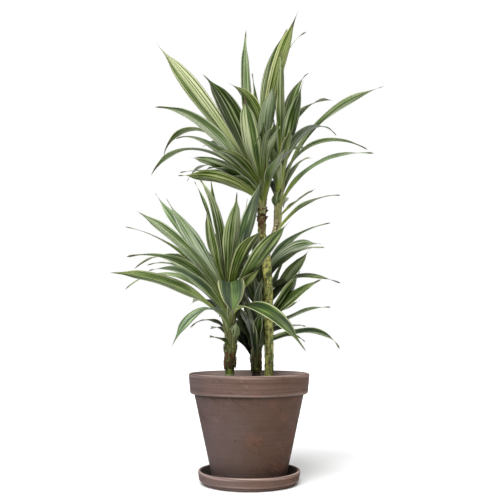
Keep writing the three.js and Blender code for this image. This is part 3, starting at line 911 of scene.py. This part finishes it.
def make_canes():
    top = {key: crown["foot"] for key, crown in CROWNS.items()}
    for key, line, bark, slot, seed in (
        ("left", LEFT_LINE, "cane_fresh", "cane_green", 41),
        ("middle", MIDDLE_LINE, "cane_brown", "cane_brown", 42),
    ):
        part = cane_part(key, line, CANE_FOOT, top[key], CANE_RINGS[key], seed)
        tubes(f"cane_{key}_bark", [part], bark, slot, f"cane_{key}", PALE_RINGS.get(key, ()))
    low_rings = ring_heights(FORK_RINGS, top["right_low"], 14, 44)
    high_rings = ring_heights(FORK_RINGS, top["right_high"], 12, 46)
    tubes("cane_right_bark", [
        cane_part("right", RIGHT_LINE, CANE_FOOT, FORK_TOP, CANE_RINGS["right"], 43, CANE_FLARE),
        cane_part("right_low", RIGHT_LOW_LINE, FORK_BOTTOM, top["right_low"], low_rings, 45),
        cane_part("right_high", RIGHT_HIGH_LINE, FORK_BOTTOM, top["right_high"], high_rings, 47),
    ], "cane_green", "cane_green", "cane_right", PALE_RINGS["right"])


# ---- leaves ----

# points across a leaf, rows along it and along its clasping base, and steps of its curve for each row
BLADE_COLUMNS, BLADE_ROWS, SHEATH_ROWS, FINE = 11, 36, 6, 2
SHEATH_START, BLADE_START = -0.12, 0.05  # the values of "along" where the clasping base and the blade begin
STRAIGHT = (0, 1.5)  # sway and bend of a leaf that gives none
ROOT_THICKNESS, TIP_THICKNESS, RIB = 1.1, 0.6, 0.35
LARGE_FOLDS = (35, 20, 10)  # how steeply both halves fold up at the root, the middle and the tip, in degrees


def width_share(t):
    """A leaf's width along it, as a share of the greatest: widest past the middle and pointed."""
    broad = lerp(0.34, 1, smoothstep(t, 0.03, 0.55))
    taper = np.cos(math.pi / 2 * np.clip((t - 0.6) / 0.4, 0, 1)) ** 1.12
    return np.where(t > 0.6, taper * (1 - 0.6 * smoothstep(t, 0.8, 0.93)), broad)


def midrib(line, leaf, sheath, clasp):
    """A leaf's middle line from its clasping base to its tip: along values, points and headings."""
    height, heading, length, lift, droop, _, _, sway, bend = leaf
    count = BLADE_ROWS * FINE

    def bearing(t):
        return np.radians(lift - droop * t**bend), np.radians(heading + sway * t)

    rise, around = bearing((np.arange(count) + 0.5) / count)
    steps = np.stack([np.cos(rise) * np.cos(around), np.cos(rise) * np.sin(around), np.sin(rise)], -1)
    outward = np.array([math.cos(math.radians(heading)), math.sin(math.radians(heading)), 0])
    start = point_at(line, height) + outward * ROOT_OFFSET
    middle = start + np.vstack([np.zeros(3), np.cumsum(steps * length / count, 0)])[::FINE]
    t = np.linspace(0, 1, BLADE_ROWS + 1)
    free = t > BLADE_START
    low = np.arange(SHEATH_ROWS) / SHEATH_ROWS
    hug = [point_at(line, height - sheath * (1 - k)) + outward * (clasp - 1.2 + 2.2 * k) for k in low]
    t = np.concatenate([SHEATH_START * (1 - low), t[free]])
    return t, np.vstack([hug, middle[free]]), bearing(np.maximum(t, 0))[1]


def directions(t, middle, around, turn):
    """Which way is across and which is up at each point of a leaf that turns about its middle line."""
    along = np.gradient(middle, axis=0)
    along /= np.linalg.norm(along, axis=1)[:, None]
    level = np.stack([-np.sin(around), np.cos(around), np.zeros_like(t)], -1)
    level -= along * np.sum(level * along, 1)[:, None]
    level /= np.linalg.norm(level, axis=1)[:, None]
    twist = (np.radians(turn) * smoothstep(t, 0, 0.4))[:, None]
    across = level * np.cos(twist) + np.cross(along, level) * np.sin(twist)
    return across, np.cross(along, across)


def leaf_section(t, s, width, wave_phase, curl, ripple, clasp, folds):
    """For rows t and columns s of a leaf: how far to the side and up, half the thickness, the rib below."""
    t = t[:, None]
    half = width / 2 * width_share(t)
    fold = np.radians(np.where(t < 0.5, lerp(folds[0], folds[1], t * 2), lerp(folds[1], folds[2], t * 2 - 1)))
    valley = (np.sqrt(s**2 + 0.01) - 0.1) / (math.sqrt(1.01) - 0.1)
    rolled = curl * np.abs(s) ** 3 * smoothstep(t, 0.1, 0.5)
    clasped = 1 - smoothstep(t, -0.03, 0.16)
    bow = half * s / clasp
    side = lerp(half * np.cos(fold) * s, clasp * np.sin(bow), clasped)
    raised = lerp(half * (np.sin(fold) * valley - rolled), clasp * (1 - np.cos(bow)), clasped)
    wave = ripple * smoothstep(t, 0.1, 0.4) * np.sin(4 * math.pi * t + wave_phase)
    body = lerp(ROOT_THICKNESS, TIP_THICKNESS, t) / 2 * (1 - 0.7 * np.abs(s)) * np.minimum(1, half / 3)
    rib = RIB * np.exp(-((s / 0.12) ** 2)) * (1 - t)
    return side, raised - wave * s * np.abs(s), body, rib


def blade(line, leaf, wave_phase, curl, ripple, sheath, clasp, folds=LARGE_FOLDS):
    """One leaf: points, faces, the points' places on it (across, along), and which faces lie underneath."""
    leaf = (*leaf, *STRAIGHT[len(leaf) - 7:])
    width, turn = leaf[5:7]
    t, middle, around = midrib(line, leaf, sheath, clasp)
    across, up = directions(t, middle, around, turn)
    s = np.linspace(-1, 1, BLADE_COLUMNS)
    side, raised, body, rib = leaf_section(t, s, width, wave_phase, curl, ripple, clasp, folds)
    base = middle[:, None] + across[:, None] * side[..., None]
    upper = base + up[:, None] * (raised + body)[..., None]
    lower = base + up[:, None] * (raised - body - rib)[..., None]
    upper[:, [0, -1]] = (base + up[:, None] * raised[..., None])[:, [0, -1]]
    ring = np.concatenate([upper, lower[:, -2:0:-1]], 1)[:-1]
    rows, size = ring.shape[:2]
    points = [*ring.reshape(-1, 3), middle[-1]]
    values = [(a, b) for b in t[:-1] for a in [*s, *s[-2:0:-1]]] + [(0, 1)]
    faces, under = [tuple(range(size))], [1.0]
    for row in range(rows):
        a, b = row * size, (row + 1) * size
        for i in range(size):
            j = (i + 1) % size
            faces.append((a + i, b + i, b + j, a + j) if row < rows - 1 else (a + i, len(points) - 1, a + j))
            under.append(float(i >= BLADE_COLUMNS - 1))
    return points, faces, values, under


def hidden_leaves(count, low, high, first, last, draw):
    """The leaves behind those that show, in the same order of draws as in the solids."""
    h = HIDDEN_LEAF
    result = []
    for i in range(count):
        share = (i + 0.5) / count
        heading = lerp(first, last, (i * GOLDEN_SHARE) % 1) + h["stray"] * (next(draw) - 0.5)
        length = h["length"] * (0.9 + 0.2 * next(draw))
        droop = h["droop"] * (0.7 + 0.6 * next(draw))
        turn = h["turn"] * (next(draw) - 0.5)
        height, lift = lerp(low, high, share), lerp(h["low_lift"], h["high_lift"], share)
        result.append((height, heading, length, lift, droop, h["width"], turn))
    return result


SMALL_RIPPLE, SMALL_SHEATH = 1.0, 16


def scattered(line, group, draw, clasp, curl, folds):
    """Small leaves that clasp the shoot, strewn round it."""
    low, high, count, length, lift, width = group
    for _ in range(count):
        leaf = (
            lerp(low, high, next(draw)),
            360 * next(draw),
            length * (0.5 + next(draw)),
            lift + 14 * (next(draw) - 0.5),
            50 * (next(draw) - 0.3),
            width * (0.8 + 0.5 * next(draw)),
            50 * (next(draw) - 0.5),
        )
        yield blade(line, leaf, 6 * next(draw), curl, SMALL_RIPPLE, SMALL_SHEATH, clasp, folds)


SHADE_REACH = 90


def shade_at(line, points):
    """How deep in the shade of its crown each point is: near the shoot and behind it."""
    points = np.asarray(points)
    heights = np.array([p[2] for p in line])
    x, y = (np.interp(points[:, 2], heights, [p[k] for p in line]) for k in (0, 1))
    above = np.maximum(0, points[:, 2] - heights[-1])
    away = np.sqrt((points[:, 0] - x) ** 2 + (points[:, 1] - y) ** 2 + above**2)
    return smoothstep(points[:, 1] - y, -26, 14) * np.exp(-((away / SHADE_REACH) ** 2))


def blades(name, line, leaves, material, node):
    """Joins leaves, each with its look, into one piece, with the values that their material reads."""
    points, faces = [], []
    layers = {"blade": [], "tint": [], "cast": [], "plain": []}
    for (more, sides, values, under), (seed, tone, dry, cast, plain) in leaves:
        faces += [tuple(i + len(points) for i in f) for f in sides]
        points += more
        lower = np.zeros(len(more))
        for f, low_side in zip(sides, under):
            lower[list(f)] += low_side
        layers["blade"] += [(a, b, seed) for a, b in values]
        layers["tint"] += [(tone, dry, share) for share in np.minimum(1, lower / 4)]
        layers["cast"] += [cast] * len(more)
        layers["plain"] += [plain] * len(more)
    layers["deep"] = shade_at(line, points)
    new_piece(name, points, faces, material, "leaf", [node], layers)


# ---- crowns of leaves ----

SHEATHS = (28, 52)  # shortest and longest clasping base
SHOOT_PITCH = 9
STREAMS = {"look": 10, "rings": 20, "sprouts": 30, "bark": 50}  # added to a crown's seed for its other draws
SPROUT_FOLDS, HUSK_FOLDS = (45, 25, 15), (50, 40, 30)


def make_crown(key, line, leaves, seed, foot, bundle, glow, hidden, husks, sprouts, pale, cast):
    """A crown of leaves on its shoot, with small leaves and dry husks round the shoot."""
    node = "foliage_" + key
    draw, look = seeded(seed), seeded(seed + STREAMS["look"])
    everyone = [*leaves, *hidden_leaves(*hidden, draw)]
    grades, casts = (row.ljust(len(everyone), "-") for row in (pale, cast))
    made = []
    for leaf, grade, letter in zip(everyone, grades, casts):
        phase = 2 * math.pi * next(draw)
        curl, ripple, sheath = 0.14 * next(look), 1.2 + 1.2 * next(look), lerp(*SHEATHS, next(look))
        tone, dry = 0.15 + 0.35 * next(look), 0.03 + 0.08 * next(look) ** 2
        # a painted sheen and a warmth by chance, unless the leaf's cast sets them
        painted_sheen, warm = 0.5 * next(look) ** 2, 0.6 * next(look)
        if grade != "-":
            tone = int(grade) / 9
        painted_sheen, warm, plain = CASTS.get(letter, (painted_sheen, warm, 0.0))
        shape = blade(line, leaf, phase, curl, ripple, min(sheath, leaf[0] - foot - 2), bundle + 1)
        made.append((shape, (next(look), tone, dry, (painted_sheen, warm, glow), plain)))
    draw = seeded(seed + STREAMS["sprouts"])
    for shape in scattered(line, sprouts, draw, bundle + 2.5, 0.1, SPROUT_FOLDS):
        made.append((shape, (next(draw), 0.3 + 0.4 * next(draw), 0.1, (0.2, 0.4 * next(draw), glow), 0.0)))
    blades(key + "_leaves", line, made, LEAF, node)

    top = line[-1][2]

    def radius(height):
        return lerp(bundle, CORE_TIP, float(smoothstep(height, top - 2 * CORE_STEP, top)))

    rings = ring_heights(foot, top, SHOOT_PITCH, seed + STREAMS["rings"])
    shoot = line, foot + GAP, top, radius, rings, seed + STREAMS["bark"]
    tubes(key + "_shoot", [shoot], "shoot_straw" if key == "right_high" else "shoot", "leaf", node)
    dry_leaves = [
        (shape, (next(look), 0.5, 0, (0, 0, 0), 0.0))
        for shape in scattered(line, husks, look, bundle + 1, -0.3, HUSK_FOLDS)
    ]
    blades(key + "_husks", line, dry_leaves, HUSK, node)


# ---- the plant ----

make_saucer()
make_pot()
make_soil()
make_crumbs()
make_canes()
for name, crown in CROWNS.items():
    make_crown(name, **crown)

# ---- floor, light and camera ----

FLOOR_REACH = 12.0
FLOOR_SHADES = (0.3, (0.88, 0.88, 0.88)), (0.7, (0.9, 0.9, 0.9))
AMBIENT = 0.2
# very large soft lights: where each stands, its angle across in degrees, and its power
SUNS = {"key": ((-0.75, -1.7, 2.2), 45, 4.9), "top": ((0.5, 0.3, 2.0), 70, 1.5)}
CAMERA_PLACE, CAMERA_AIM = (0.002, -1.732, 0.330), (0.002, 0, 0.517)
LENS, SENSOR_WIDTH = 55, 36
WHITE = (1, 1, 1, 1)


def make_floor():
    m = Material("floor", Roughness=0.6)
    m.set(m.surface, {"Base Color": m.ramp(m.noise(m.place(), 2.0), *FLOOR_SHADES)})
    mesh = bpy.data.meshes.new("floor")
    r = FLOOR_REACH
    mesh.from_pydata([(-r, -r, 0), (r, -r, 0), (r, r, 0), (-r, r, 0)], [], [(0, 1, 2, 3)])
    floor = bpy.data.objects.new("floor", mesh)
    mesh.materials.append(m.data)
    bpy.context.scene.collection.objects.link(floor)
    floor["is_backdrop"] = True


def make_world():
    """White to the camera, and a weak even light to everything else."""
    world = bpy.data.worlds.new("studio")
    world.use_nodes = True
    nodes, links = world.node_tree.nodes, world.node_tree.links
    ambient, backdrop = nodes["Background"], nodes.new("ShaderNodeBackground")
    ambient.inputs["Color"].default_value = WHITE
    ambient.inputs["Strength"].default_value = AMBIENT
    backdrop.inputs["Color"].default_value = WHITE
    seen, both = nodes.new("ShaderNodeLightPath"), nodes.new("ShaderNodeMixShader")
    links.new(seen.outputs["Is Camera Ray"], both.inputs[0])
    links.new(ambient.outputs[0], both.inputs[1])
    links.new(backdrop.outputs[0], both.inputs[2])
    links.new(both.outputs[0], nodes["World Output"].inputs["Surface"])
    bpy.context.scene.world = world
    bpy.context.scene.view_settings.view_transform = "Standard"


def place_aimed(name, data, place, target):
    """Puts a light or a camera at a place, looking at a target."""
    item = bpy.data.objects.new(name, data)
    item.location = place
    item.rotation_euler = (Vector(target) - item.location).to_track_quat("-Z", "Y").to_euler()
    bpy.context.scene.collection.objects.link(item)
    return item


def make_sun(name, place, spread, power):
    data = bpy.data.lights.new(name, "SUN")
    data.angle = math.radians(spread)
    data.energy = power
    place_aimed(name, data, place, (0, 0, 0))


def make_camera():
    lens = bpy.data.cameras.new("camera")
    lens.lens, lens.sensor_width = LENS, SENSOR_WIDTH
    bpy.context.scene.camera = place_aimed("camera", lens, CAMERA_PLACE, CAMERA_AIM)


make_floor()
make_world()
for name, sun in SUNS.items():
    make_sun(name, *sun)
make_camera()

boxes = {"cad": cad_box, "visual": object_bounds()}
{k: [list(corner) for corner in v] for k, v in boxes.items()}
